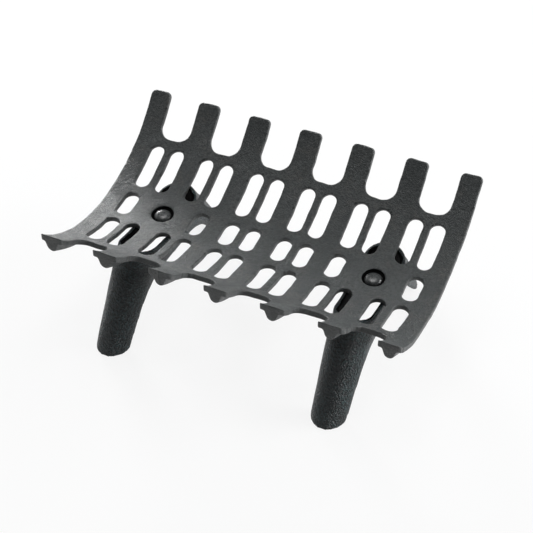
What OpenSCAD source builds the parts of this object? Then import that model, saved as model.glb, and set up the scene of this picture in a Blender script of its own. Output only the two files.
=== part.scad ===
// Cast iron log grate for an open fireplace.
// A curved, slotted bed with a row of fingers along each long edge stands on two arched
// legs. Each leg is one hollow casting with a front and a rear foot, and hangs from the
// bed by one square-necked bolt, a washer and a nut.
//
// Frame: +X along the width of the bed, +Y to the back of the hearth, +Z up.
// The origin is on the hearth, under the middle of the grate.

/* [Bed] */
// Width of the bed across the hearth
bed_w = 508; // [500:1:516]
// Thickness of the bed casting
bed_t = 7.5; // [6:0.5:9]
// Radius of the bed's upper face
bed_r = 223; // [205:1:245]
// Arc from the bolt row forward to where the front lip starts to curl
lip_start = 104; // [103:1:107]
// Radius of the upper face of the front lip
lip_r = 151; // [125:1:190]
// Level distance from the bolt row forward to the finger tips
front_reach = 157; // [148:1:162]
// Arc from the bolt row back to the finger tips
back_reach = 186; // [175:1:192]
// Height of the bed's upper face at the bolts
bolt_height = 124.5; // [115:0.5:140]
// Arc from the bed's lowest line back to the bolt row
bolt_back = 20; // [12:1:28]

/* [Fingers] */
// Number of fingers along each long edge
finger_n = 7; // [7:2:7]
// Spacing of the fingers
finger_pitch = 80; // [79:0.5:82]
// Width of the notch between two fingers
notch_w = 47; // [42:0.5:49]
// Level distance from the bolt row forward to the front notches
front_notch = 112; // [109:1:118]
// Radius in the corners of the front notches
front_notch_r = 14; // [8:0.5:18]
// Arc from the bolt row back to the rear notches
back_notch = 120; // [118:1:130]
// Radius in the corners of the rear notches
back_notch_r = 18; // [10:0.5:21]
// Radius on the corners of the front finger tips
front_tip_r = 2.5; // [1:0.5:6]
// Radius on the corners of the rear finger tips
back_tip_r = 7; // [3:0.5:9]

/* [Finger ribs] */
// Depth of the finger ribs below the bed's upper face
rib_h = 16.2; // [13:0.1:18]
// Half width of a rib at its rounded lower edge
rib_r = 5.5; // [4:0.5:7]
// Draft of a rib's sides
rib_draft = 24; // [10:1:30]
// How far a rib stops short of the finger tip
rib_back = 1; // [0.5:0.5:5]
// Arcs from the bolt row to where the front and the rear ribs run out
rib_ends = [-101, 112];
// Steepness of the run-out
rib_runout = 45; // [30:5:60]

/* [Slots] */
// Width of a slot
slot_w = 22; // [18:0.5:24]
// Spacing of the two slots of a pair
slot_gap = 32; // [31:0.5:33]
// Ends of the front row, as arcs from the bolt row
front_row = [-101.5, -34.5];
// Ends of the middle row
middle_row = [-21.7, 21.7];
// Ends of the rear row
rear_row = [35.8, 107.4];

/* [Bolts] */
// Number of finger spacings from the middle of the bed out to a bolt
bolt_column = 2; // [2:1:2]
// Diameter of the bolt's shank
bolt_d = 10; // [8:0.5:12]
// Diameter of the bolt's domed head
head_d = 24; // [20:0.5:27]
// Height of the domed head
head_h = 5; // [3.5:0.5:6]
// Length of the square neck
neck_h = 5; // [3:0.5:5.5]
// Length of the bolt under its head
bolt_len = 33; // [32:1:45]
// Radius of the recess round the head
recess_r = 16; // [15:0.5:18]
// Depth of the recess
recess_h = 4; // [2.5:0.5:5]
// Outer diameter of the washer
washer_d = 22; // [20:0.5:28]
// Thickness of the washer
washer_h = 2; // [1:0.5:3]
// Width of the nut across its flats
nut_af = 17; // [16:0.5:20]
// Height of the nut
nut_h = 8; // [6:0.5:9]

/* [Legs] */
// Level distance from the bolt row forward to the outermost point of the front foot
front_foot = 173.5; // [170:0.5:176]
// Level distance from the bolt row back to the outermost point of the rear foot
rear_foot = 157; // [152:1:164]
// Half width of a leg at the foot
foot_r = 22.8; // [19:0.1:26]
// Half width of a leg at the bolt row
crown_r = 31; // [30:0.5:33]
// Thickness of the leg casting
leg_t = 7.5; // [6:0.5:8]
// Steepness of the front leg
front_slope = 58; // [56:0.5:59]
// Steepness of the rear leg
rear_slope = 56; // [53:0.5:60]
// Depth of the foot, from its outermost point in to the rim
foot_depth = 26; // [22:0.5:28]
// Steepness of the rim of the front leg
front_rim_slope = 53.5; // [50:0.5:56]
// Steepness of the rim of the rear leg
rear_rim_slope = 46.5; // [43:0.5:51]
// Height of the arch between the feet
arch_h = 84; // [70:1:88]
// Radius in the upper corners of the arch
arch_r = 88; // [60:1:95]
// Diameter of the round boss under the bed that the leg is drawn up against
boss_d = 38; // [32:0.5:40]
// How far the boss stands below the bed
boss_h = 4.5; // [3:0.5:7]
// Thickness of the cross plate inside the leg that the bolt passes through
bridge_t = 8; // [6:0.5:10]
// Length of the cross plate, front to back
bridge_l = 44; // [36:1:60]

// Turn of the left leg about its bolt, anticlockwise seen from above
left_turn = -1.7; // [-3:0.1:3]
// Turn of the right leg about its bolt, anticlockwise seen from above
right_turn = 0.4; // [-3:0.1:3]

/* [Clearances] */
// Gap round the bolt in the castings
bolt_gap = 0.5; // [0.3:0.1:1]
// Gap round the bolt in the washer
washer_gap = 0.4; // [0.2:0.1:0.6]
// Gap round the bolt in the nut
thread_gap = 0.05; // [0.05:0.05:0.2]
// Gap between the leg's upper edges and the underside of the bed
seat_gap = 0.3; // [0.2:0.1:1]
// Step on each face of the bed where the front lip starts
lip_step = 0.1; // [0.1:0.05:0.3]

/* [Hidden] */
$fn = 96;
// Overshoot of a cut past the face that it opens
over = 1;
// Overshoot of a notch past the finger tips
clear = 20;
// Length over which the lip runs on inside the bed
lip_lap = 5;
// Depth below the bed's upper face at which the ribs are rooted
rib_in = 1;
// Larger than any piece, for half spaces
far = 600;

// Angles, in degrees from straight down about the axis of the bed's curve
tilt = turn(bolt_back, bed_r);
lip_a = tilt - turn(lip_start, bed_r);
tip_a = tilt + turn(back_reach, bed_r);

// Level distance from the bolt row back to the hindmost point of a rear rib
rib_end_a = tilt + turn(back_reach - rib_back, bed_r);
rib_end = (bed_r + rib_h) * sin(rib_end_a) - bed_r * sin(tilt);

// The bolt row lies where the front feet and the rear fingers end equally far out
row_y = (front_foot - rib_end) / 2;

// Axis of the bed's curve and axis of the lip's curve, as [y, z]
bed_axis = [row_y - bed_r * sin(tilt), bolt_height + bed_r * cos(tilt)];
lip_axis = bed_axis + (bed_r - lip_r) * [sin(lip_a), -cos(lip_a)];
front_tip_y = row_y - front_reach;
front_tip_a = asin((front_tip_y - lip_axis[0]) / lip_r);
front_notch_a = asin((row_y - front_notch - lip_axis[0]) / lip_r);

bolt_x = bolt_column * finger_pitch;
finger_span = (finger_n - 1) / 2;

// Levels along a bolt, down from the bed's upper face
boss_z = -bed_t - boss_h;
bridge_z = boss_z - bridge_t;
nut_z = bridge_z - washer_h - nut_h;

// Degrees of arc that a length takes up on a radius
function turn(len, r) = len / r * 180 / PI;
// Point at an angle from straight down on a circle along X, as [y, z]
function on_circle(axis, r, a) = axis + r * [sin(a), -cos(a)];

// Moves a shape to the bed's upper face, +Z along the face's normal
module at_bed(s) {
    translate([0, bed_axis[0], bed_axis[1]])
        rotate([tilt + turn(s, bed_r), 0, 0])
            translate([0, 0, -bed_r])
                children();
}

// Cylinder along X round an axis given as [y, z]
module along_x(axis, r, len = far) {
    translate([0, axis[0], axis[1]])
        rotate([0, 90, 0])
            cylinder(h = len, r = r, center = true, $fn = 360);
}

// Stretch of curved plate with its upper face at radius r, between two angles
module curved_plate(axis, r, t, from_a, to_a) {
    translate([0, axis[0], axis[1]])
        rotate([0, 90, 0])
            rotate([0, 0, from_a])
                rotate_extrude(angle = to_a - from_a, $fn = 360)
                    translate([r, -bed_w / 2 - clear])
                        square([t, bed_w + 2 * clear]);
}

// Extrudes a side view, drawn in [y, z], to both sides of x = 0
module side_view(w) {
    rotate([90, 0, 90])
        linear_extrude(height = w, center = true)
            children();
}

// ---- Bed ----

// Slot with round ends, cut square to the bed in the middle of its length
module slot(x, row) {
    mid = (row[0] + row[1]) / 2;
    half = bed_r * sin(turn((row[1] - row[0]) / 2, bed_r)) - slot_w / 2;
    at_bed(mid)
        translate([x, 0, -bed_t - over])
            linear_extrude(height = bed_t + half + over)
                union() {
                    square([slot_w, 2 * half], center = true);
                    for (side = [-1, 1])
                        translate([0, side * half])
                            circle(d = slot_w);
                }
}

// True beside a bolt, where the middle row has no slot
function beside_bolt(x) = abs(abs(x) - bolt_x) < finger_pitch / 2;

module slots() {
    for (pair = [0.5 - finger_span : 1 : finger_span - 0.5], side = [-0.5, 0.5]) {
        x = pair * finger_pitch + side * slot_gap;
        slot(x, front_row);
        slot(x, rear_row);
        if (!beside_bolt(x))
            slot(x, middle_row);
    }
}

// Outline of a notch that opens towards +Y from y = 0, with its mouth at y = depth:
// rounded in its corners and flared round the finger tips
module notch_outline(depth, corner_r, tip_r) {
    union() {
        translate([-notch_w / 2, corner_r])
            square([notch_w, depth - corner_r + clear]);
        translate([corner_r - notch_w / 2, 0])
            square([notch_w - 2 * corner_r, depth]);
        for (side = [-1, 1])
            translate([side * (notch_w / 2 - corner_r), corner_r])
                circle(r = corner_r);
    }
    for (side = [-1, 1])
        translate([side * notch_w / 2, depth])
            tip_corner(side, tip_r);
}

// The sliver between a finger's square corner and its rounded one. The finger lies on
// the given side of x = 0, below y = 0.
module tip_corner(side, tip_r) {
    difference() {
        translate([side > 0 ? -over : -tip_r, -tip_r])
            square([tip_r + over, tip_r + clear]);
        translate([side * tip_r, -tip_r])
            circle(r = tip_r);
    }
}

module notch_row(depth, corner_r, tip_r) {
    for (pair = [0.5 - finger_span : 1 : finger_span - 0.5])
        translate([pair * finger_pitch, 0])
            notch_outline(depth, corner_r, tip_r);
    for (side = [-1, 1])
        translate([side * bed_w / 2, depth])
            tip_corner(-side, tip_r);
}

// The front notches are cut square to the lip at their inner ends
module front_notches() {
    translate([0, lip_axis[0], lip_axis[1]])
        rotate([front_notch_a, 0, 0])
            translate([0, 0, -lip_r - bed_t - rib_h])
                linear_extrude(height = bed_t + rib_h + lip_r / 2)
                    mirror([0, 1])
                        notch_row(lip_r * sin(front_notch_a - front_tip_a), front_notch_r,
                                  front_tip_r);
}

// The rear notches are cut square to the bed in the middle of the fingers
module back_notches() {
    mid = (back_notch + back_reach) / 2;
    half = bed_r * sin(turn((back_reach - back_notch) / 2, bed_r));
    at_bed(mid)
        translate([0, -half, -bed_t - 2 * rib_h])
            linear_extrude(height = far / 4)
                notch_row(2 * half, back_notch_r, back_tip_r);
}

// Rib under a finger, on the curve of the bed: rounded below, drafted at its sides and
// rooted inside the plate
module rib(x, from_a, to_a) {
    low = bed_r + rib_h - rib_r;
    root = bed_r + rib_in;
    flank = rib_r - lip_step;
    root_half = flank / cos(rib_draft) + (low - root) * tan(rib_draft);
    translate([0, bed_axis[0], bed_axis[1]])
        rotate([0, 90, 0])
            rotate([0, 0, from_a])
                rotate_extrude(angle = to_a - from_a, $fn = 180)
                    translate([0, x])
                        union() {
                            translate([low, 0])
                                circle(r = rib_r, $fn = 48);
                            polygon([for (side = [-1, 1])
                                         [low + flank * sin(rib_draft),
                                          side * flank * cos(rib_draft)],
                                     for (side = [1, -1])
                                         [root, side * root_half]]);
                        }
}

// Half space beyond a plane that leaves the bed's underside at an arc from the bolt row,
// steeply down towards the finger tips: on the bolts' side of it for the front ribs
// (side = 1) and for the rear ribs (side = -1)
module runout(s, side) {
    at_bed(s)
        translate([0, 0, -bed_t])
            rotate([side * rib_runout - 90, 0, 0])
                translate([-far, 0, -far])
                    cube([2 * far, far, 2 * far]);
}

// The front ribs keep to the curve of the bed where the lip curls up from it
module front_ribs() {
    difference() {
        for (i = [-finger_span : finger_span])
            rib(rib_x(i), front_tip_a, tilt + turn(rib_ends[0] + rib_h, bed_r));
        runout(rib_ends[0], 1);
        translate([-far, front_tip_y + rib_back - far, 0])
            cube([2 * far, far, far]);
    }
}

module rear_ribs() {
    difference() {
        for (i = [-finger_span : finger_span])
            rib(rib_x(i), tilt + turn(rib_ends[1] - rib_h, bed_r), rib_end_a);
        runout(rib_ends[1], -1);
    }
}

// Middle of a finger. The end fingers are cut off by the side of the bed.
function rib_x(i) = let (edge = finger_span * finger_pitch - finger_pitch / 2 + notch_w / 2)
    abs(i) < finger_span ? i * finger_pitch : sign(i) * (edge + bed_w / 2) / 2;

module boss(x) {
    at_bed(0)
        translate([x, 0, boss_z])
            cylinder(h = boss_h + bed_t / 2, d = boss_d);
}

// Recess for the head, square hole for the neck and round hole for the shank
module bolt_seat(x) {
    neck = bolt_d + 2 * bolt_gap;
    at_bed(0)
        translate([x, 0, 0]) {
            translate([0, 0, -recess_h])
                cylinder(h = recess_h + head_h, r = recess_r);
            translate([-neck / 2, -neck / 2, -recess_h - neck_h - bolt_gap])
                cube([neck, neck, neck_h + bolt_gap + over]);
            translate([0, 0, boss_z - over])
                cylinder(h = bed_t + boss_h, d = neck);
        }
}

module bed() {
    color([0.26, 0.26, 0.25])
        difference() {
            union() {
                curved_plate(bed_axis, bed_r, bed_t, lip_a, tip_a);
                difference() {
                    curved_plate(lip_axis, lip_r + lip_step, bed_t - 2 * lip_step,
                                 lip_a - turn(front_reach, lip_r), lip_a + turn(lip_lap, lip_r));
                    translate([-far, front_tip_y - far, 0])
                        cube([2 * far, far, far]);
                }
                front_ribs();
                rear_ribs();
                boss(-bolt_x);
                boss(bolt_x);
            }
            for (side = [-1, 1])
                translate([side * (bed_w + far) / 2, 0, 0])
                    cube([far, 2 * far, 2 * far], center = true);
            slots();
            front_notches();
            back_notches();
            bolt_seat(-bolt_x);
            bolt_seat(bolt_x);
        }
}

// ---- Legs ----

under_r = bed_r + bed_t + seat_gap;

// Straight half of a leg with its foot at -Y of the bolt row: a half round nose whose
// outermost line runs up from the hearth, and side walls behind it. inset is the wall
// thickness for the hollow, and 0 for the outside.
module channel(slope, reach, inset) {
    len = reach * cos(slope) + bolt_height * sin(slope);
    lean = atan((crown_r - foot_r) / len);
    low = -foot_r;
    high = len + 2 * foot_r;
    function half(z) = foot_r + tan(lean) * z - inset;
    translate([0, -reach, 0])
        rotate([slope - 90 - lean, 0, 0])
            translate([0, foot_r, 0])
                union() {
                    translate([0, 0, low])
                        cylinder(h = high - low, r1 = half(low), r2 = half(high));
                    rotate([-90, 0, 0])
                        linear_extrude(height = far / 2)
                            polygon([[-half(low), -low], [half(low), -low],
                                     [half(high), -high], [-half(high), -high]]);
                }
}

// One half of the leg casting, cut off at the bolt row
module half_leg(slope, reach) {
    difference() {
        channel(slope, reach, 0);
        channel(slope, reach, leg_t);
        translate([-far / 2, 0, -far / 2])
            cube([far, far, far]);
    }
}

// Side view of the open arch between the feet, from the bolt row
module arch_view() {
    front = rim(front_foot, front_rim_slope);
    rear = rim(rear_foot, rear_rim_slope);
    union() {
        polygon([[front[0] - arch_h, -arch_h], [front[0], 0], front[1], [front[2], arch_h],
                 [-rear[2], arch_h], [-rear[1][0], rear[1][1]], [-rear[0], 0],
                 [arch_h - rear[0], -arch_h]]);
        translate([front[2], arch_h - arch_r])
            circle(r = arch_r, $fn = 180);
        translate([-rear[2], arch_h - arch_r])
            circle(r = arch_r, $fn = 180);
    }
}

// For a rim with its foot at -Y: where it meets the hearth, where its curve starts as
// [y, z], and where its curve ends at the top of the arch
function rim(reach, slope) =
    let (foot = foot_depth - reach,
         corner = foot + arch_h / tan(slope),
         back = arch_r * tan(slope / 2))
    [foot, [corner - back * cos(slope), arch_h - back * sin(slope)], corner + back];

// Both halves of a leg and the cross plate between them, before the leg is cut to the bed
// and the hearth
module whole_leg() {
    inner = crown_r - leg_t;
    difference() {
        union() {
            translate([0, row_y, 0]) {
                half_leg(front_slope, front_foot);
                mirror([0, 1, 0])
                    half_leg(rear_slope, rear_foot);
            }
            at_bed(0)
                translate([-inner - leg_t / 2, -bridge_l / 2, bridge_z])
                    cube([2 * inner + leg_t, bridge_l, bridge_t]);
        }
        translate([0, row_y, 0])
            side_view(far)
                arch_view();
        at_bed(0)
            translate([0, 0, bridge_z - over])
                cylinder(h = bridge_t + 2 * over, d = bolt_d + 2 * bolt_gap);
    }
}

// Leg under a bolt, turned about the bolt's axis
module leg(x, angle) {
    color([0.13, 0.14, 0.15])
        translate([x, 0, 0])
            difference() {
                translate([0, row_y, bolt_height])
                    rotate(a = angle, v = [0, -sin(tilt), cos(tilt)])
                        translate([0, -row_y, -bolt_height])
                            whole_leg();
                along_x(bed_axis, under_r);
                translate([-far / 2, -far / 2, -far])
                    cube([far, far, far]);
            }
}

module leg_left() {
    leg(-bolt_x, left_turn);
}

module leg_right() {
    leg(bolt_x, right_turn);
}

// ---- Fasteners ----

module bolt(x) {
    dome_r = (pow(head_d / 2, 2) + pow(head_h, 2)) / (2 * head_h);
    color([0.09, 0.09, 0.1])
        at_bed(0)
            translate([x, 0, -recess_h]) {
                intersection() {
                    translate([0, 0, head_h - dome_r])
                        sphere(r = dome_r);
                    cylinder(h = head_h + over, d = head_d);
                }
                translate([-bolt_d / 2, -bolt_d / 2, -neck_h])
                    cube([bolt_d, bolt_d, neck_h]);
                translate([0, 0, -bolt_len])
                    cylinder(h = bolt_len, d = bolt_d);
            }
}

module bolt_left() {
    bolt(-bolt_x);
}

module bolt_right() {
    bolt(bolt_x);
}

module washer(x) {
    color([0.45, 0.45, 0.45])
        at_bed(0)
            translate([x, 0, bridge_z - washer_h])
                difference() {
                    cylinder(h = washer_h, d = washer_d);
                    translate([0, 0, -over])
                        cylinder(h = washer_h + 2 * over, d = bolt_d + 2 * washer_gap);
                }
}

module washer_left() {
    washer(-bolt_x);
}

module washer_right() {
    washer(bolt_x);
}

module nut(x) {
    color([0.45, 0.45, 0.45])
        at_bed(0)
            translate([x, 0, nut_z])
                difference() {
                    cylinder(h = nut_h, d = nut_af / cos(30), $fn = 6);
                    translate([0, 0, -over])
                        cylinder(h = nut_h + 2 * over, d = bolt_d + 2 * thread_gap);
                }
}

module nut_left() {
    nut(-bolt_x);
}

module nut_right() {
    nut(bolt_x);
}

bed();
leg_left();
leg_right();
bolt_left();
bolt_right();
washer_left();
washer_right();
nut_left();
nut_right();
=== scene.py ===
import math
from types import SimpleNamespace

import bmesh
import bpy
import numpy as np
from mathutils import Matrix, Vector


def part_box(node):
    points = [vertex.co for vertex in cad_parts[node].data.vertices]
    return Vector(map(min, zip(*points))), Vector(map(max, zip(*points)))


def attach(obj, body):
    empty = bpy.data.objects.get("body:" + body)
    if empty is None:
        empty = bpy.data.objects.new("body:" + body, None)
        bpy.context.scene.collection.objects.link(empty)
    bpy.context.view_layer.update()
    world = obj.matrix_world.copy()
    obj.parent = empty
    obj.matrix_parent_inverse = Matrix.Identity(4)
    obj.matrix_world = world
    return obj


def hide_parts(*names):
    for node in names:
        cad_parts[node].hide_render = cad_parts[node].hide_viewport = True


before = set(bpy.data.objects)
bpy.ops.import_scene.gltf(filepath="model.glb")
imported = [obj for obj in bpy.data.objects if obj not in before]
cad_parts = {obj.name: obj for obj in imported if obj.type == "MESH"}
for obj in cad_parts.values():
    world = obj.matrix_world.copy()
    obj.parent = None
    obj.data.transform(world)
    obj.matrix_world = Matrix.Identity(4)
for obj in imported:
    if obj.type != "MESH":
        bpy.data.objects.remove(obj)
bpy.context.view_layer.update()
print("frame loaded:", sorted(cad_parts))

mm = 0.001


def corners(node):
    # A node's lowest and highest corner, in millimetres
    low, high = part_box(node)
    return np.array(low) / mm, np.array(high) / mm


bed = dict(
    width=508.0,
    thickness=7.5,
    radius=223.0,  # of the upper face
    boltHeight=124.5,
    boltBack=20.0,  # arc from the lowest line to the bolt row
    lipStart=104.0,  # arcs forward of the bolt row
    lipRadius=151.0,
    frontReach=157.0,  # level distance to the front tips
    backReach=186.0,  # arc to the rear tips
    fingers=7,
    pitch=80.0,
    notchWidth=47.0,
    frontNotch=112.0,  # level distance
    frontNotchRadius=14.0,
    backNotch=120.0,  # arc
    backNotchRadius=18.0,
    tipRadii=(2.5, 7.0),  # of the front and the rear finger tips
    slotWidth=22.0,
    slotGap=32.0,
    slotRows=((-101.5, -34.5), (-21.7, 21.7), (35.8, 107.4)),
    boltX=160.0,
    seatRadius=22.0,  # of the disc that the bolt seat is turned in
    recessRadius=16.0,
    recessDepth=4.0,
    holeRadius=5.5,
    bossRadius=19.0,
    bossHeight=4.5,
    edge=1.3,  # rounding of the cast edges
    step=(1.9, 2.5),  # spacing of the surface grid along x and along the arc
    wobble=0.45, wobbleSizes=(42.0, 13.0),  # unevenness of the outlines and its wave lengths
    swell=0.22, swellSizes=(60.0, 17.0, 45.0),  # and of the faces: the upper one's two, the lower one's
    plumbBehind=8.0,  # arc behind the notches where the way down starts to turn straight down
    stray=5.0,  # how far the left front corner came out of line in the casting
    strayFrom=(-90.0, -40.0),  # x and arc where that begins
    strayOver=(164.0, 130.0),  # and over which it grows
)
rib = dict(
    height=16.2,  # from the bed's upper face to the lower edge
    radius=7.2,  # of the rounded lower edge
    draft=17.0,  # degrees
    starts=(-101.0, 112.0),  # arcs from the bolt row to where the ribs run out
    blend=3.2,
)


def bedCurve(b):
    # The side view of the bed's upper face: a wide arc, and a tighter one from lipStart forward
    tilt = b["boltBack"] / b["radius"]
    lipAngle = tilt - b["lipStart"] / b["radius"]
    rowY = corners("bed")[0][1] + b["frontReach"]
    axis = np.array([rowY - b["radius"] * math.sin(tilt), b["boltHeight"] + b["radius"] * math.cos(tilt)])
    lipAxis = axis + (b["radius"] - b["lipRadius"]) * np.array([math.sin(lipAngle), -math.cos(lipAngle)])
    return dict(tilt=tilt, lipAngle=lipAngle, rowY=rowY, axis=axis, lipAxis=lipAxis)


curve = bedCurve(bed)


def angleAt(s):
    # Angle from straight down at an arc from the bolt row
    main = curve["tilt"] + s / bed["radius"]
    lip = curve["lipAngle"] + (s + bed["lipStart"]) / bed["lipRadius"]
    return np.where(s < -bed["lipStart"], lip, main)


def arcAtLevel(y):
    # Arc from the bolt row to a level distance forward of it, on the lip
    level = (curve["rowY"] - y - curve["lipAxis"][0]) / bed["lipRadius"]
    return (np.arcsin(level) - curve["lipAngle"]) * bed["lipRadius"] - bed["lipStart"]


def smoothStep(t):
    # Goes from 0 to 1 with t, level at both ends: 3 t squared less 2 t cubed
    t = np.clip(t, 0.0, 1.0)
    return t * t * (3.0 - 2.0 * t)


def sideView(s):
    # Side view of the upper face at an arc: the place, and the way down into the plate as a
    # step that goes one millimetre deeper. It is square to the face, and turns straight down
    # towards the front tips.
    a = angleAt(s)
    onLip = s < -bed["lipStart"]
    r = np.where(onLip, bed["lipRadius"], bed["radius"])
    y = np.where(onLip, curve["lipAxis"][0], curve["axis"][0]) + r * np.sin(a)
    z = np.where(onLip, curve["lipAxis"][1], curve["axis"][1]) - r * np.cos(a)
    start = frontRoot - bed["plumbBehind"]
    plumb = smoothStep((s - start) / (frontTip + 1.0 - start)) * np.tan(a)
    return y, z, np.sin(a) - plumb * np.cos(a), -np.cos(a) - plumb * np.sin(a)


def onBed(x, s, depth):
    # Point at a depth under the upper face. The left front corner strays outwards, growing
    # from the bolts to the tips and from the third finger to the first.
    y, z, stepY, stepZ = sideView(s)
    (fromX, fromS), (overX, overS) = bed["strayFrom"], bed["strayOver"]
    stray = bed["stray"] * smoothStep((fromS - s) / overS) * np.clip((fromX - x) / overX, 0.0, 1.0)
    return np.stack([x - stray, y + depth * stepY, z + depth * stepZ], axis=-1)


def waves(x, s, seed, size, count=7):
    # Smooth unevenness between about -1 and 1: a sum of sine waves in random directions
    rng = np.random.default_rng(seed)
    total = np.zeros(np.broadcast(x, s).shape)
    for turn, shift, stretch in zip(rng.uniform(0, math.tau, count), rng.uniform(0, math.tau, count),
                                    rng.uniform(0.6, 1.8, count)):
        k = math.tau / (size * stretch)
        total += np.sin(k * (x * math.cos(turn) + s * math.sin(turn)) + shift)
    return total / math.sqrt(count) / 1.4


def roundBox(x, s, halfX, halfS, r):
    # Distance to a rectangle with round corners, negative inside
    qx, qs = np.abs(x) - halfX + r, np.abs(s) - halfS + r
    outside = np.hypot(np.maximum(qx, 0.0), np.maximum(qs, 0.0))
    return outside + np.minimum(np.maximum(qx, qs), 0.0) - r


def fingerColumns(b):
    # Middle and half width of each finger: the end ones are cut off by the side of the bed
    span = (b["fingers"] - 1) // 2
    middles = np.arange(-span, span + 1) * b["pitch"]
    halves = np.full(b["fingers"], (b["pitch"] - b["notchWidth"]) / 2)
    inner = middles[-1] - b["pitch"] / 2 + b["notchWidth"] / 2
    middles[[0, -1]] = np.array([-1, 1]) * (inner + b["width"] / 2) / 2
    halves[[0, -1]] = (b["width"] / 2 - inner) / 2
    return middles, halves


def slotPlaces(b):
    # (x, first arc, last arc) of every slot: pairs between the fingers, none beside a bolt
    places = []
    span = (b["fingers"] - 1) / 2
    for pair in np.arange(0.5 - span, span):
        for side in (-0.5, 0.5):
            x = pair * b["pitch"] + side * b["slotGap"]
            beside = abs(abs(x) - b["boltX"]) < b["pitch"] / 2
            places += [(x, *row) for k, row in enumerate(b["slotRows"]) if k != 1 or not beside]
    return places


frontTip = float(arcAtLevel(bed["frontReach"]))
frontRoot = float(arcAtLevel(bed["frontNotch"]))


def outline(x, s):
    # Distance to the bed's outline on the unrolled upper face, negative in the iron
    b = bed
    longest = 2 * b["backReach"]
    mid, half = (b["backReach"] + frontTip) / 2, (b["backReach"] - frontTip) / 2
    d = np.maximum(np.abs(x) - b["width"] / 2, np.abs(s - mid) - half)
    span = (b["fingers"] - 1) / 2
    for xNotch in np.arange(0.5 - span, span) * b["pitch"]:
        halfNotch = b["notchWidth"] / 2
        back = roundBox(x - xNotch, s - b["backNotch"] - longest, halfNotch, longest, b["backNotchRadius"])
        front = roundBox(x - xNotch, s - frontRoot + longest, halfNotch, longest, b["frontNotchRadius"])
        d = np.maximum(d, -np.minimum(back, front))
    tips = np.full(d.shape, 1e3)
    for middle, halfWidth in zip(*fingerColumns(b)):
        front, back = (roundBox(x - middle, s - mid, halfWidth, half, r) for r in b["tipRadii"])
        tips = np.minimum(tips, np.where(s < mid, front, back))
    nearTip = np.abs(s - mid) > half - 2 * max(b["tipRadii"])
    d = np.where(nearTip, tips, d)
    for xSlot, first, last in slotPlaces(b):
        r = b["slotWidth"] / 2
        along = np.clip(s, first + r, last - r)
        d = np.maximum(d, r - np.hypot(x - xSlot, s - along))
    wide, narrow = b["wobbleSizes"]
    return d + b["wobble"] * (waves(x, s, 3, wide) + 0.5 * waves(x, s, 4, narrow))


def seats(x, s):
    # Distance to the discs of the two bolt seats, positive outside them
    return np.hypot(np.abs(x) - bed["boltX"], s) - bed["seatRadius"]


def region(x, s):
    # Where the flat faces are: the iron less its rounded edges and the bolt seats
    return np.maximum(outline(x, s) + bed["edge"], -seats(x, s))


def slope(f, x, s, step=0.05):
    # Unit vector along which f grows fastest
    gx = f(x + step, s) - f(x - step, s)
    gs = f(x, s + step) - f(x, s - step)
    size = np.maximum(np.hypot(gx, gs), 1e-9)
    return gx / size, gs / size


def cutSheet(f, xs, ss, snap=0.3, weld=0.02):
    # Triangles that fill f < 0: each grid cell is two triangles, cut where f crosses zero. snap
    # is a share of the grid's step, and weld a distance.
    gridX, gridS = np.meshgrid(xs, ss, indexing="ij")
    values = f(gridX, gridS)
    px, ps, v = gridX.ravel(), gridS.ravel(), values.ravel()
    # Points close to the edge are moved onto it, which leaves no slivers
    near = np.abs(v) < snap * min(xs[1] - xs[0], ss[1] - ss[0])
    nx, ns = slope(f, px[near], ps[near])
    px[near] -= v[near] * nx
    ps[near] -= v[near] * ns
    v[near] = 0.0
    index = np.arange(px.size).reshape(gridX.shape)
    cell = index[:-1, :-1], index[1:, :-1], index[1:, 1:], index[:-1, 1:]
    a, b, c, d = (corner.ravel() for corner in cell)
    tris = np.concatenate([np.stack([a, b, c], 1), np.stack([a, c, d], 1)])
    inside = v[tris] <= 0.0
    solid = (v[tris] < 0.0).any(1)
    count = inside.sum(1)
    whole = tris[(count == 3) & solid]

    def turned(chosen, first):
        # The chosen triangles' corners, turned so that the odd one out comes first
        turn = first[chosen].argmax(1)
        return [np.take_along_axis(tris[chosen], ((turn + k) % 3)[:, None], 1)[:, 0] for k in range(3)]

    p1, q1, r1 = turned((count == 1) & solid, inside)
    p2, q2, r2 = turned((count == 2) & solid, ~inside)
    # Each cut edge gets one point where f crosses zero, which both its triangles share
    ends = np.stack([np.concatenate([p1, p1, p2, p2]), np.concatenate([q1, r1, q2, r2])])
    cut, where = np.unique(ends.min(0) * px.size + ends.max(0), return_inverse=True)
    i, j = cut // px.size, cut % px.size
    t = v[i] / (v[i] - v[j])
    x, s = px[i] + t * (px[j] - px[i]), ps[i] + t * (ps[j] - ps[i])
    for _ in range(2):
        gx, gs = slope(f, x, s)
        away = f(x, s)
        x, s = x - away * gx, s - away * gs
    pq1, pr1, pq2, pr2 = np.split(px.size + where.ravel(), np.cumsum([len(p1), len(p1), len(p2)]))
    single = np.stack([p1, pq1, pr1], 1)
    double = np.concatenate([np.stack([q2, r2, pq2], 1), np.stack([r2, pr2, pq2], 1)])
    faces = np.concatenate([whole, single, double])
    points = np.stack([np.concatenate([px, x]), np.concatenate([ps, s])], 1)
    # Points that nearly coincide are joined, and triangles without area dropped
    used, faces = np.unique(faces, return_inverse=True)
    faces = faces.reshape(-1, 3)
    points = points[used]
    _, first, same = np.unique(np.round(points / weld).astype(int), axis=0,
                               return_index=True, return_inverse=True)
    faces = same.ravel()[faces]
    points = points[first]
    keep = (faces[:, 0] != faces[:, 1]) & (faces[:, 1] != faces[:, 2]) & (faces[:, 2] != faces[:, 0])
    return points, faces[keep]


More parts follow.
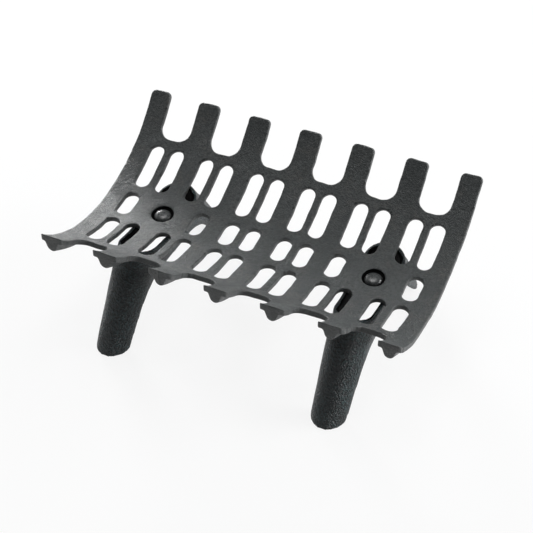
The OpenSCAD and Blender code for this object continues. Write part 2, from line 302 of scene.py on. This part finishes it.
def rimEdges(faces):
    # Directed edges that only one triangle uses
    edges = np.concatenate([faces[:, [0, 1]], faces[:, [1, 2]], faces[:, [2, 0]]])
    size = faces.max() + 1
    key = np.minimum(edges[:, 0], edges[:, 1]) * size + np.maximum(edges[:, 0], edges[:, 1])
    _, where, count = np.unique(key, return_inverse=True, return_counts=True)
    return edges[count[where.ravel()] == 1]


def ribDepth(x, s):
    # How deep the underside lies with the ribs, whose lower edges follow the bed's wide arc:
    # the way down is carried to the arc of the rib's lower side, round below and drafted. The
    # fillet is (extra + the root of extra squared and blend squared) / 2.
    y, z, stepY, stepZ = sideView(s)
    c, slant = rib, math.radians(rib["draft"])
    profile = np.full(x.shape, -1e3)
    for middle in fingerColumns(bed)[0]:
        u = np.abs(x - middle)
        nose = np.sqrt(np.maximum(c["radius"] ** 2 - u ** 2, 0.0)) - c["radius"]
        tangent = c["radius"] * math.cos(slant)
        flank = c["radius"] * (math.sin(slant) - 1.0) - (u - tangent) / math.tan(slant)
        profile = np.maximum(profile, np.where(u < tangent, nose, flank))
    out = bed["radius"] + c["height"] + profile
    for start, side in zip(c["starts"], (-1, 1)):
        runOut = bed["radius"] + bed["thickness"] + (s - start) * side
        out = np.where(s * side > 0, np.minimum(out, runOut), out)
    away = np.array([y - curve["axis"][0], z - curve["axis"][1]])
    along = away[0] * stepY + away[1] * stepZ
    square = stepY ** 2 + stepZ ** 2
    room = along ** 2 + square * (out ** 2 - away[0] ** 2 - away[1] ** 2)
    reached = (np.sqrt(np.maximum(room, 0.0)) - along) / square
    depth = np.where(out > 0.8 * bed["radius"], reached, 0.0)  # none far from a rib
    extra = depth - bed["thickness"]
    k = c["blend"]
    return bed["thickness"] + np.maximum(0.5 * (extra + np.sqrt(extra ** 2 + k * k)) - 0.1 * k, 0.0)


def bedMesh():
    # Upper and lower sheet of the same triangles, joined by rows of points swept along their
    # rims: cast edges everywhere but at the bolt seats, which are turned profiles
    b = bed
    halfWidth, length = b["width"] / 2, b["backReach"] - frontTip
    xs = np.linspace(-halfWidth - 2, halfWidth + 2, round((b["width"] + 4) / b["step"][0]))
    ss = np.linspace(frontTip - 2, b["backReach"] + 2, round((length + 4) / b["step"][1]))
    flat, faces = cutSheet(region, xs, ss)
    print("bed sheet:", len(flat), "points,", len(faces), "triangles")
    x, s = flat[:, 0], flat[:, 1]
    under = ribDepth(x, s)
    wide, narrow, below = b["swellSizes"]
    lift = b["swell"] * waves(x, s, 5, wide) + 0.3 * b["swell"] * waves(x, s, 6, narrow)
    fall = b["swell"] * waves(x, s, 7, below)
    count = len(flat)
    verts = [onBed(x, s, lift), onBed(x, s, under + fall)]
    tris = [faces, faces[:, ::-1] + count]
    quads = []
    rim = [np.zeros(count), np.zeros(count)]  # 1 on the cast edges, -1 in the bolts' seats where painted shade goes
    edges = rimEdges(faces)

    def sweep(edges, rows):
        # Carries rows of points along the edges: rows gives, for the edge's points, the place
        # and the wear, or -1 for painted shade, of each row between the upper and the lower sheet
        ids = np.unique(edges)
        first, second = np.searchsorted(ids, edges).T
        chain = [ids]
        for place, wear in rows(ids):
            chain.append(sum(map(len, verts)) + np.arange(len(ids)))
            verts.append(place)
            rim.append(np.full(len(ids), wear))
        chain.append(ids + count)
        for upper, lower in zip(chain[:-1], chain[1:]):
            quads.append(np.stack([upper[second], upper[first], lower[first], lower[second]], 1))

    def castEdge(ids):
        # Quarter round, wall and quarter round again
        nx, ns = slope(outline, x[ids], s[ids])
        bottom = under[ids] + fall[ids]
        placed = []
        for turn, level, way, wear in [(t, lift[ids], 1, 1.0) for t in (0.35, 0.7, 1.0)] + \
                                      [(t, bottom, -1, 0.8) for t in (1.0, 0.7, 0.35)]:
            out = b["edge"] * math.sin(turn * math.pi / 2)
            drop = b["edge"] * (1 - math.cos(turn * math.pi / 2))
            placed.append((onBed(x[ids] + out * nx, s[ids] + out * ns, level + way * drop), wear))
        return placed

    def boltSeat(ids):
        # Turned profile from the upper face into the recess, through the hole, over the boss
        # and out to the underside, as (radius, depth)
        floor, plate, r = b["recessDepth"], b["thickness"], b["edge"]
        wall, hole, boss = b["recessRadius"], b["holeRadius"], b["bossRadius"]
        bottom = plate + b["bossHeight"]
        profile = [(wall + r, 0.0), (wall + 0.35 * r, 0.3 * r), (wall, r), (wall - 0.1, floor - r),
                   (wall - 0.5 * r, floor - 0.2 * r), (wall - 1.5 * r, floor), (hole + 0.4, floor),
                   (hole, floor + 0.4), (hole, bottom - 0.4), (hole + 0.4, bottom),
                   (boss - 1.0, bottom), (boss, bottom - 1.0), (boss + 0.3, plate + 1.2),
                   (boss + 1.2, plate + 0.2)]
        side = np.sign(x[ids]) * b["boltX"]
        turn = np.arctan2(s[ids], x[ids] - side)
        placed = []
        for radius, depth in profile:
            uneven = lift[ids] if depth < bottom / 2 else fall[ids]
            level = depth + uneven * (radius > wall - 2.0)  # round the hole the seat stays true
            wear = 0.4 if depth < r else -1.0 if depth < bottom else 0.0  # worn lip; below it -1, painted shade in the recess, the hole and round the boss; the boss's end plain
            placed.append((onBed(side + radius * np.cos(turn), radius * np.sin(turn), level), wear))
        return placed

    atSeat = seats(x, s)[edges].max(1) < 0.5
    sweep(edges[~atSeat], castEdge)
    sweep(edges[atSeat], boltSeat)
    return np.concatenate(verts), tris, quads, np.concatenate(rim)


# Faces whose points all lie under this value get painted shade
paintedShadeBelow = -0.6


def makePiece(name, verts, faceGroups, material, rim=None, inner=None, smooth=True):
    # A mesh object from point and face arrays, with its place in its mesh. The attribute is 1 on worn
    # edges, 0 elsewhere and -1 inside where painted shade goes, and faces with all points under the
    # threshold above take the inner material, painted shade.
    mesh = bpy.data.meshes.new(name)
    loops = np.concatenate([g.ravel() for g in faceGroups])
    sizes = np.concatenate([np.full(len(g), g.shape[1]) for g in faceGroups])
    mesh.vertices.add(len(verts))
    mesh.vertices.foreach_set("co", (np.asarray(verts) * mm).astype(np.float32).ravel())
    mesh.loops.add(len(loops))
    mesh.loops.foreach_set("vertex_index", loops.astype(np.int32))
    mesh.polygons.add(len(sizes))
    starts = np.concatenate([[0], np.cumsum(sizes)[:-1]])
    mesh.polygons.foreach_set("loop_start", starts.astype(np.int32))
    mesh.update(calc_edges=True)
    mesh.materials.append(material)
    if rim is not None:
        mesh.attributes.new("rim", "FLOAT", "POINT").data.foreach_set("value", rim.astype(np.float32))
        mesh.materials.append(inner)
        inShade = rim < paintedShadeBelow
        picks = np.concatenate([inShade[g].all(1) for g in faceGroups])
        mesh.polygons.foreach_set("material_index", picks.astype(np.int32))
    mesh.validate()
    mesh.polygons.foreach_set("use_smooth", np.full(len(mesh.polygons), smooth))
    piece = bpy.data.objects.new(name, mesh)
    bpy.context.scene.collection.objects.link(piece)
    return piece


leg = dict(
    voxel=0.0014,  # metres
    smoothing=7,
    swell=0.25, swellSize=40.0,  # unevenness of the faces and its wave length
    edgeFrom=0.16,  # how far a point stands out from its neighbours where an edge counts as worn
    turns={"leg_left": -1.7, "leg_right": 0.4},  # degrees about the bolts
    reach=(173.5, 157.0), slopes=(58.0, 56.0),  # of the front and the rear foot
    halfWidths=(22.8, 31.0),  # at the foot and at the bolt
    wall=7.5,
    fuller=1.6,  # how much fuller the castings came out below the bed
    fullerTop=106.0, fullerOver=14.0,  # the height where that begins and the drop over which it grows
    stretch={"leg_left": 2.0, "leg_right": 0.6},  # how much further forward the front feet came out
    stretchTop=100.0, stretchOver=90.0, stretchReach=120.0,  # top, drop and way forward of that
    trueFoot=10.0,  # height over which the feet's lower faces stay level
)


def legMesh(node):
    # The leg's own shape with its edges rounded as a casting's are: the node's triangles are
    # joined, remeshed evenly and smoothed. Gives points, normals and faces.
    shape = bpy.data.meshes.new_from_object(node)
    work = bmesh.new()
    work.from_mesh(shape)
    bmesh.ops.remove_doubles(work, verts=work.verts, dist=1e-6)
    work.to_mesh(shape)
    work.free()
    copy = bpy.data.objects.new("legShape", shape)
    bpy.context.scene.collection.objects.link(copy)
    remesh = copy.modifiers.new("even", "REMESH")
    remesh.mode, remesh.voxel_size = "VOXEL", leg["voxel"]
    smooth = copy.modifiers.new("soft", "SMOOTH")
    smooth.factor, smooth.iterations = 0.5, leg["smoothing"]
    rounded = copy.evaluated_get(bpy.context.evaluated_depsgraph_get()).to_mesh()
    verts = np.empty(len(rounded.vertices) * 3)
    rounded.vertices.foreach_get("co", verts)
    normals = np.empty(len(rounded.vertices) * 3)
    rounded.vertices.foreach_get("normal", normals)
    quads = np.empty(len(rounded.polygons) * 4, int)
    rounded.polygons.foreach_get("vertices", quads)
    bpy.data.objects.remove(copy)
    bpy.data.meshes.remove(shape)
    return verts.reshape(-1, 3) / mm, normals.reshape(-1, 3), quads.reshape(-1, 4)


def standOut(verts, normals, quads, rounds=6):
    # How far each point stands out from the mean of its neighbours, evened over a few rounds
    nextOnes = np.concatenate([quads[:, [0, 1]], quads[:, [1, 2]], quads[:, [2, 3]], quads[:, [3, 0]]])
    count = np.bincount(nextOnes[:, 0], minlength=len(verts))[:, None]

    def mean(values):
        total = np.stack([np.bincount(nextOnes[:, 0], values[nextOnes[:, 1], k], len(verts))
                          for k in range(values.shape[1])], 1)
        return total / np.maximum(count, 1)

    even = verts
    for _ in range(rounds):
        even = mean(even)
    return mean(((verts - even) * normals).sum(1)[:, None])[:, 0]


def hollowness(verts, side):
    # 1 on the faces inside the leg: they lie deeper than about half a wall under its flanks
    # and under its nose, which is a half round as wide as the leg. side is the leg's turn and
    # a value with the sign of its side.
    x, y, z = verts.T
    forward = y < curve["rowY"]
    away = np.abs(y - curve["rowY"])
    slant = np.radians(np.where(forward, *leg["slopes"]))
    reach = np.where(forward, *leg["reach"])
    turn, place = side
    middle = math.copysign(bed["boltX"], place) - (y - curve["rowY"]) * math.sin(turn)
    across = x - middle
    up = (reach - away) * np.cos(slant) + z * np.sin(slant)
    full = reach * np.cos(slant) + bed["boltHeight"] * np.sin(slant)
    atFoot, atBolt = leg["halfWidths"]
    half = atFoot + (atBolt - atFoot) * up / full
    behind = (reach - away) * np.sin(slant) - z * np.cos(slant)
    nose = half - np.sqrt(np.maximum(half ** 2 - across ** 2, 0.0))
    inside = np.minimum(behind - nose, half - np.abs(across)) - 0.55 * leg["wall"]
    return smoothStep(inside / 1.5 + 0.5)


def legCasting(node):
    # The rounded leg with uneven faces, its outside fuller and its front foot further forward
    verts, normals, quads = legMesh(node)
    rim = smoothStep(standOut(verts, normals, quads) / leg["edgeFrom"])
    side = math.radians(leg["turns"][node.name]), float(verts[:, 0].mean())
    hollow = hollowness(verts, side)
    rim = np.where(hollow > 0.3, -hollow, rim)  # 1 on worn edges, -1 in the hollow where painted shade goes
    x, y, z = verts.T  # views of verts, which moves with them
    push = leg["swell"] * waves(x + z, y - x, 11, leg["swellSize"])
    push += leg["fuller"] * (1.0 - hollow) * smoothStep((leg["fullerTop"] - z) / leg["fullerOver"])
    x += push * normals[:, 0]
    y += push * normals[:, 1]
    z += push * normals[:, 2] * smoothStep(z / leg["trueFoot"])
    forward = smoothStep((curve["rowY"] - y) / leg["stretchReach"])
    down = smoothStep((leg["stretchTop"] - z) / leg["stretchOver"])
    y -= leg["stretch"][node.name] * forward * down
    return verts, quads, rim


bolt = dict(
    headRadius=12.0, headHeight=5.0, headEdge=0.7, flatness=2.8, shoulder=0.6,
    neck=10.0, neckHeight=5.0, neckRounding=1.32,
    radius=5.0, length=33.0,
    threadPitch=1.5, threadDepth=0.55, threadLength=18.0,
    tipEase=0.9,
    sides=72, domeRings=30,
)
washer = dict(outer=11.0, inner=5.4, top=-20.0, height=2.0, edge=0.35, sides=64)
nut = dict(flats=17.0, bore=5.05, top=-22.0, height=8.0, chamfer=1.1, sides=96)


def around(sides):
    # Equal angles round an axis
    return np.arange(sides) * math.tau / sides


def onBolt(x, radius, turn, height):
    # Point round the bolt's axis: its radius, its angle and its height over the bed's face
    across, along = x + radius * np.cos(turn), radius * np.sin(turn)
    tilt = curve["tilt"]
    return np.stack([across, curve["rowY"] + along * math.cos(tilt) - height * math.sin(tilt),
                     bed["boltHeight"] + along * math.sin(tilt) + height * math.cos(tilt)], axis=-1)


def turnedMesh(x, radius, height, turns, poles):
    # A grid of rings: rows run down the profile, columns round the axis. It is closed at its
    # two poles, or from its last ring back to its first.
    radius, height, turns = np.broadcast_arrays(radius, height, turns)
    rows, count = radius.shape
    verts = onBolt(x, radius, turns, height).reshape(-1, 3)
    ids = np.arange(rows * count).reshape(rows, count)
    if not poles:
        ids = np.vstack([ids, ids[:1]])
    upper, lower = ids[:-1], ids[1:]
    quads = np.stack([upper, lower, np.roll(lower, -1, 1), np.roll(upper, -1, 1)], -1).reshape(-1, 4)
    if not poles:
        return verts, [quads]
    top, end = len(verts), len(verts) + 1
    verts = np.vstack([verts, onBolt(x, np.zeros(2), 0.0, height[[0, -1], 0])])
    first, last = ids[0], ids[-1]
    caps = np.concatenate([np.stack([np.full(count, top), first, np.roll(first, -1)], 1),
                           np.stack([np.full(count, end), np.roll(last, -1), last], 1)])
    return verts, [quads, caps]


def boltMesh(x):
    # Low domed head with a rounded shoulder, square neck with round corners, and a threaded
    # shank. The head's height falls as (1 - (r / R) ^ flatness) ^ shoulder.
    b = bolt
    seat, edge, head = -bed["recessDepth"], b["headEdge"], b["headRadius"]
    neckEnd, bottom = seat - b["neckHeight"], seat - b["length"]
    threadTop = bottom + b["threadLength"]
    dome = head * np.sin(np.linspace(0.03, 1.0, b["domeRings"]) * math.pi / 2)
    dome = dome[dome < head - 0.05]
    level = seat + b["headHeight"] * (1 - (dome / head) ** b["flatness"]) ** b["shoulder"]
    profile = [*zip(dome, level), (head, seat + edge), (head, seat + 0.5 * edge), (head - 0.4, seat)]
    rows = [(r, h, 0.0, 0.0) for r, h in profile]  # with the share of the square and the thread
    rows += [(b["radius"], seat, 1.0, 0.0), (b["radius"], neckEnd, 1.0, 0.0)]
    rows += [(b["radius"], neckEnd - 0.3, 0.0, 0.0), (b["radius"], threadTop + 0.3, 0.0, 0.0)]
    heights = np.arange(threadTop, bottom + 0.6, -b["threadPitch"] / 6)
    rows += [(b["radius"], h, 0.0, 1.0) for h in heights]
    rows += [(b["radius"] - b["tipEase"], bottom, 0.0, 0.0), (0.5, bottom, 0.0, 0.0)]
    radius, height, squared, threaded = (np.array(c)[:, None] for c in zip(*rows))
    turns, square = around(b["sides"]), b["neck"] / 2
    corner = square / np.maximum(np.abs(np.cos(turns)), np.abs(np.sin(turns)))
    corner = np.minimum(corner, b["neckRounding"] * square)
    phase = (height / b["threadPitch"] + turns / math.tau) % 1.0
    groove = b["threadDepth"] * (1.0 - np.abs(2.0 * phase - 1.0))
    radius = radius + squared * (corner - radius) - threaded * groove
    return turnedMesh(x, radius, height, turns, True)


def washerMesh(x):
    # Flat ring with slightly rounded edges
    w, e = washer, washer["edge"]
    low = w["top"] - w["height"]
    top, inner, outer = w["top"], w["inner"], w["outer"]
    rows = [(inner + e, top), (inner, top - e), (inner, low + e), (inner + e, low),
            (outer - e, low), (outer - 0.3 * e, low + 0.3 * e), (outer, low + e),
            (outer, top - e), (outer - 0.3 * e, top - 0.3 * e), (outer - e, top)]
    radius, height = (np.array(c)[:, None] for c in zip(*rows))
    return turnedMesh(x, radius, height, around(w["sides"]), False)


def nutMesh(x):
    # Six flats whose corners are turned off by a cone at both faces
    n = nut
    top, bore, ease, half = n["top"], n["bore"], n["chamfer"], n["flats"] / 2
    low, corner = top - n["height"], half / math.cos(math.pi / 6)
    turns, steps = around(n["sides"]), (0.25, 0.5, 0.75, 1.0)
    hexagon = half / np.cos((turns + math.pi / 6) % (math.pi / 3) - math.pi / 6)
    rows = [(bore + 0.5, top, 0), (bore, top - 0.5, 0), (bore, low + 0.5, 0),
            (bore + 0.5, low, 0), (half - 0.4, low, 0), (half, low + 0.1, 0)]
    rows += [(half + t * (corner - half), low + 0.1 + t * ease, 1) for t in steps]
    rows += [(half + t * (corner - half), top - 0.1 - t * ease, 1) for t in steps[::-1]]
    rows += [(half, top - 0.1, 0), (half - 0.4, top, 0)]
    radius, height, hexed = (np.array(c)[:, None] for c in zip(*rows))
    radius = np.where(hexed > 0, np.minimum(radius, hexagon), radius)
    return turnedMesh(x, radius, height, turns, False)


rangeInputs = ("From Min", "From Max", "To Min", "To Max")


def emptyMaterial(name):
    # A material, its node and link lists, and the socket that takes its surface
    material = bpy.data.materials.new(name)
    material.use_nodes = True
    nodes, links = material.node_tree.nodes, material.node_tree.links
    nodes.clear()
    return material, nodes, links, nodes.new("ShaderNodeOutputMaterial").inputs["Surface"]


def newMaterial(name):
    # A material with a plain surface, and the tools that add its patterns, colours and relief
    material, nodes, links, surface = emptyMaterial(name)
    shader = nodes.new("ShaderNodeBsdfPrincipled")
    links.new(shader.outputs[0], surface)
    coords = nodes.new("ShaderNodeTexCoord").outputs["Object"]

    def noise(scale, detail, rough):
        n = nodes.new("ShaderNodeTexNoise")
        n.inputs["Scale"].default_value = scale
        n.inputs["Detail"].default_value = detail
        n.inputs["Roughness"].default_value = rough
        links.new(coords, n.inputs["Vector"])
        return n.outputs["Fac"]

    def spread(value, *limits):
        # Stretches a range of the value to another range, and cuts it off there
        n = nodes.new("ShaderNodeMapRange")
        for key, number in zip(rangeInputs, limits):
            n.inputs[key].default_value = number
        links.new(value, n.inputs["Value"])
        return n.outputs["Result"]

    def pattern(scale, detail, rough, *limits):
        return spread(noise(scale, detail, rough), *limits)

    def blend(factor, one, two):
        n = nodes.new("ShaderNodeMix")
        n.data_type = "RGBA"
        for socket, value in ((n.inputs[0], factor), (n.inputs[6], one), (n.inputs[7], two)):
            if isinstance(value, tuple):
                socket.default_value = (*value, 1.0)
            else:
                links.new(value, socket)
        return n.outputs[2]

    def wear(colour, edge, share):
        # Shows the edge colour where the rim is above 0, by the rim times the pattern
        n = nodes.new("ShaderNodeAttribute")
        n.attribute_name = "rim"
        onEdge = spread(n.outputs["Fac"], 0.0, 1.0, 0.0, 1.0)
        return blend(blend(onEdge, (0.0, 0.0, 0.0), pattern(*share)), colour, edge)

    def relief(layers):
        # Bump of several noises, one on top of the other
        normal = None
        for scale, detail, rough, depth, strength in layers:
            n = nodes.new("ShaderNodeBump")
            n.inputs["Distance"].default_value = depth
            n.inputs["Strength"].default_value = strength
            links.new(noise(scale, detail, rough), n.inputs["Height"])
            if normal is not None:
                links.new(normal, n.inputs["Normal"])
            normal = n.outputs[0]
        links.new(normal, shader.inputs["Normal"])

    def finish(colour, gloss, specular=0.5, metallic=0.0):
        links.new(colour, shader.inputs["Base Color"])
        links.new(pattern(*gloss), shader.inputs["Roughness"])
        shader.inputs["Specular IOR Level"].default_value = specular
        shader.inputs["Metallic"].default_value = metallic

    return material, SimpleNamespace(pattern=pattern, blend=blend, wear=wear, relief=relief, finish=finish)


# A pattern is a noise's scale per metre, detail and roughness, then its lowest and highest value
# and what they become. A layer of relief is a noise with its depth in metres and its strength.
bareIron = dict(
    dark=(0.0180, 0.0212, 0.0217),
    pale=(0.053, 0.0580, 0.0575),
    warm=(0.060, 0.054, 0.048),
    edge=(0.036, 0.038, 0.0375),
    clouds=(16.0, 5.0, 0.60, 0.33, 0.68, 0.0, 1.0),
    stains=(34.0, 5.0, 0.65, 0.50, 0.70, 0.0, 0.8),
    mottle=(240.0, 4.0, 0.65, 0.44, 0.58, 0.0, 1.0),
    grain=(900.0, 3.0, 0.70, 0.45, 0.70, 0.0, 0.7),
    worn=(160.0, 3.0, 0.55, 0.40, 0.65, 0.15, 0.75),
    gloss=(60.0, 4.0, 0.55, 0.30, 0.70, 0.38, 0.52),
    layers=((1500.0, 2.0, 0.70, 0.0004, 0.6), (420.0, 4.0, 0.65, 0.0022, 0.75),
            (85.0, 3.0, 0.60, 0.0030, 0.45)),
)


def bareIronMaterial():
    # Cast iron with a thin dark finish: cloudy grey, finely grained and paler on its edges
    c = bareIron
    material, t = newMaterial("bedIron")
    colour = c["dark"]
    for name, cover in (("clouds", "pale"), ("stains", "warm"), ("mottle", "dark"), ("grain", "pale")):
        colour = t.blend(t.pattern(*c[name]), colour, c[cover])
    t.finish(t.wear(colour, c["edge"], c["worn"]), c["gloss"])
    t.relief(c["layers"])
    return material


paintedIron = dict(
    dark=(0.0036, 0.0075, 0.0086),
    pale=(0.036, 0.068, 0.073),
    edge=(0.030, 0.034, 0.035),
    clouds=(40.0, 4.0, 0.55, 0.30, 0.70, 0.0, 1.0),
    # The relief's deeper noise again: painted shade where its hollows are
    hollowShade=(360.0, 3.0, 0.55, 0.44, 0.58, 0.0, 1.0),
    worn=(200.0, 3.0, 0.55, 0.40, 0.65, 0.0, 0.8),
    gloss=(300.0, 3.0, 0.55, 0.30, 0.70, 0.32, 0.48),
    specular=0.4,
    layers=((900.0, 2.0, 0.60, 0.0014, 0.8), (360.0, 3.0, 0.55, 0.0085, 1.0)),
)


def paintedIronMaterial():
    # Sand-cast iron under black paint: bluish black with an even pebbled grain, and painted shade in the
    # hollows of its relief
    c = paintedIron
    material, t = newMaterial("legIron")
    colour = t.blend(t.pattern(*c["clouds"]), c["dark"], c["pale"])
    # Painted shade: dark where the relief dips
    colour = t.blend(t.pattern(*c["hollowShade"]), c["dark"], colour)
    t.finish(t.wear(colour, c["edge"], c["worn"]), c["gloss"], c["specular"])
    t.relief(c["layers"])
    return material


blackBolt = dict(
    colour=(0.022, 0.024, 0.024),
    worn=(0.07, 0.07, 0.07),
    scuffs=(420.0, 4.0, 0.70, 0.50, 0.80, 0.0, 0.6),
    gloss=(250.0, 3.0, 0.55, 0.35, 0.70, 0.24, 0.38),
    specular=0.6,
    layers=((380.0, 3.0, 0.55, 0.0004, 0.5),),
)


def blackBoltMaterial():
    # Semi-gloss black of the bolts, slightly scuffed
    c = blackBolt
    material, t = newMaterial("boltBlack")
    t.finish(t.blend(t.pattern(*c["scuffs"]), c["colour"], c["worn"]), c["gloss"], c["specular"])
    t.relief(c["layers"])
    return material


zinc = dict(
    dark=(0.28, 0.28, 0.28),
    pale=(0.46, 0.46, 0.45),
    clouds=(240.0, 4.0, 0.55, 0.30, 0.70, 0.0, 1.0),
    gloss=(600.0, 3.0, 0.55, 0.30, 0.70, 0.3, 0.5),
    metallic=0.9,
    layers=((900.0, 3.0, 0.55, 0.0001, 0.5),),
)


def zincMaterial():
    # Dull zinc plate of the nuts and washers
    c = zinc
    material, t = newMaterial("zincSteel")
    t.finish(t.blend(t.pattern(*c["clouds"]), c["dark"], c["pale"]), c["gloss"], metallic=c["metallic"])
    t.relief(c["layers"])
    return material


# Painted shade for the bolt recesses and the legs' hollow: near-black colours, dull and nearly without
# specular
paintedShadeFinish = dict(
    dark=(0.0010, 0.0010, 0.0010),
    dustyShade=(0.003, 0.003, 0.003),
    dust=(120.0, 4.0, 0.55, 0.40, 0.75, 0.0, 1.0),
    gloss=(300.0, 3.0, 0.55, 0.30, 0.70, 0.8, 0.95),
    specular=0.04,
    layers=((500.0, 3.0, 0.55, 0.002, 0.7),),
)


def paintedShadeMaterial():
    # Painted shade: dull near-black with faint paler dust, nearly without reflection, for the bolt
    # recesses and the hollow inside of the legs, where shade falls
    c = paintedShadeFinish
    material, t = newMaterial("paintedShade")
    t.finish(t.blend(t.pattern(*c["dust"]), c["dark"], c["dustyShade"]), c["gloss"], c["specular"])
    t.relief(c["layers"])
    return material


# The third material is painted shade, the inner material of the bed and the legs
bedIron, legIron, paintedShade = bareIronMaterial(), paintedIronMaterial(), paintedShadeMaterial()
boltBlack, zincSteel = blackBoltMaterial(), zincMaterial()
finishOf = {"bed": (bedIron, "bed_iron"), "leg": (legIron, "leg_iron"), "bolt": (boltBlack, "bolt_black"),
            "washer": (zincSteel, "zinc_steel"), "nut": (zincSteel, "zinc_steel")}
for name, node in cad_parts.items():
    node.data.materials.clear()
    node.data.materials.append(finishOf[name.split("_")[0]][0])
print("finishes made")

verts, tris, quads, rim = bedMesh()
bedCasting = makePiece("bedCasting", verts, tris + quads, bedIron, rim, paintedShade)
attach(bedCasting, "root")
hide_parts("bed")
print("bed made:", len(bedCasting.data.polygons), "faces")

for side, sign in (("left", -1), ("right", 1)):
    verts, quads, rim = legCasting(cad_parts["leg_" + side])
    shapes = {"leg": (verts, [quads], rim, paintedShade)}
    for kind, maker in (("bolt", boltMesh), ("washer", washerMesh), ("nut", nutMesh)):
        shapes[kind] = (*maker(sign * bed["boltX"]), None, None)
    for kind, (verts, faces, rim, inner) in shapes.items():
        material, slot = finishOf[kind]
        piece = makePiece(kind + side.capitalize(), verts, faces, material, rim, inner)
        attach(piece, "root")
        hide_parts(kind + "_" + side)
        print(piece.name, "made:", len(piece.data.polygons), "faces")


studio = dict(
    floorSize=24.0,
    floorColour=(0.72, 0.72, 0.72),
    whiteShare=0.85,  # of plain white in the floor as the camera and mirrors see it
    lamps=dict(  # place and size in metres, and power in watts
        back=((-1.8, 1.6, 0.64), 0.75, 61.0),
        left=((-2.3, 0.0, 0.8), 1.5, 8.0),
        right=((2.1, 1.0, 0.6), 1.2, 74.0),
        top=((-0.25, 0.35, 2.7), 1.5, 37.0),
    ),
    aim=(0.0, 0.0, 0.1),  # of the lamps
    tentColour=(0.93, 0.98, 1.0),
    tentShares=(-0.7, 0.8),  # the surroundings brighten between here in front and here behind
    tentLevels=(0.12, 0.43),  # their brightness at the two
)


def makeFloor(c):
    # A pale floor that the camera and mirrors see as plain white, and that keeps the shadow
    half = c["floorSize"] / 2 / mm
    grid = np.array([[-half, -half, 0.0], [half, -half, 0.0], [half, half, 0.0], [-half, half, 0.0]])
    material, nodes, links, surface = emptyMaterial("paleFloor")
    matte = nodes.new("ShaderNodeBsdfDiffuse")
    matte.inputs["Color"].default_value = (*c["floorColour"], 1.0)
    white = nodes.new("ShaderNodeEmission")
    white.inputs["Strength"].default_value = 1.0
    bright = nodes.new("ShaderNodeMixShader")
    bright.inputs[0].default_value = c["whiteShare"]
    links.new(matte.outputs[0], bright.inputs[1])
    links.new(white.outputs[0], bright.inputs[2])
    rays = nodes.new("ShaderNodeLightPath").outputs
    seen = rays["Is Camera Ray"]
    for other in ("Is Glossy Ray", "Is Transmission Ray"):
        either = nodes.new("ShaderNodeMath")
        either.operation = "MAXIMUM"
        links.new(seen, either.inputs[0])
        links.new(rays[other], either.inputs[1])
        seen = either.outputs[0]
    pick = nodes.new("ShaderNodeMixShader")
    links.new(seen, pick.inputs[0])
    links.new(matte.outputs[0], pick.inputs[1])
    links.new(bright.outputs[0], pick.inputs[2])
    links.new(pick.outputs[0], surface)
    makePiece("floor", grid, [np.array([[0, 1, 2, 3]])], material, smooth=False)


def makeLamp(name, place, size, power):
    # A square soft light that faces the aim
    light = bpy.data.lights.new(name, "AREA")
    light.size, light.energy = size, power
    lamp = bpy.data.objects.new(name, light)
    bpy.context.scene.collection.objects.link(lamp)
    lamp.location = place
    lamp.rotation_euler = (Vector(studio["aim"]) - Vector(place)).to_track_quat("-Z", "Y").to_euler()


def makeWorld(c):
    # Soft white surroundings, dim on the camera's side and bright behind and above the object
    world = bpy.data.worlds.new("studio")
    world.use_nodes = True
    nodes, links = world.node_tree.nodes, world.node_tree.links
    back = nodes["Background"]
    back.inputs["Color"].default_value = (*c["tentColour"], 1.0)
    way = nodes.new("ShaderNodeSeparateXYZ")
    links.new(nodes.new("ShaderNodeTexCoord").outputs["Generated"], way.inputs[0])
    level = nodes.new("ShaderNodeMapRange")
    level.interpolation_type = "SMOOTHSTEP"
    for key, number in zip(rangeInputs, (*c["tentShares"], *c["tentLevels"])):
        level.inputs[key].default_value = number
    links.new(way.outputs["Y"], level.inputs["Value"])
    links.new(level.outputs["Result"], back.inputs["Strength"])
    bpy.context.scene.world = world


makeFloor(studio)
makeWorld(studio)
for name, (place, size, power) in studio["lamps"].items():
    makeLamp(name + "Lamp", place, size, power)

view = dict(
    place=(581.34, -1269.85, 1355.93),
    azimuth=24.495, elevation=42.291,  # of the way from the object to the camera
    lens=91.117, sensor=36.0,
)


def makeCamera(v):
    # The camera stands level, and looks along its azimuth and elevation
    azimuth, elevation = math.radians(v["azimuth"]), math.radians(v["elevation"])
    level = math.cos(elevation)
    back = Vector((math.sin(azimuth) * level, -math.cos(azimuth) * level, math.sin(elevation)))
    right = Vector((math.cos(azimuth), math.sin(azimuth), 0.0))
    up = back.cross(right)
    data = bpy.data.cameras.new("camera")
    data.lens, data.sensor_width = v["lens"], v["sensor"]
    camera = bpy.data.objects.new("camera", data)
    bpy.context.scene.collection.objects.link(camera)
    turn = Matrix((right, up, back)).transposed().to_4x4()
    camera.matrix_world = Matrix.Translation(Vector(v["place"]) * mm) @ turn
    bpy.context.scene.camera = camera


makeCamera(view)
bpy.context.scene.view_settings.view_transform = "Standard"
print("stage made")
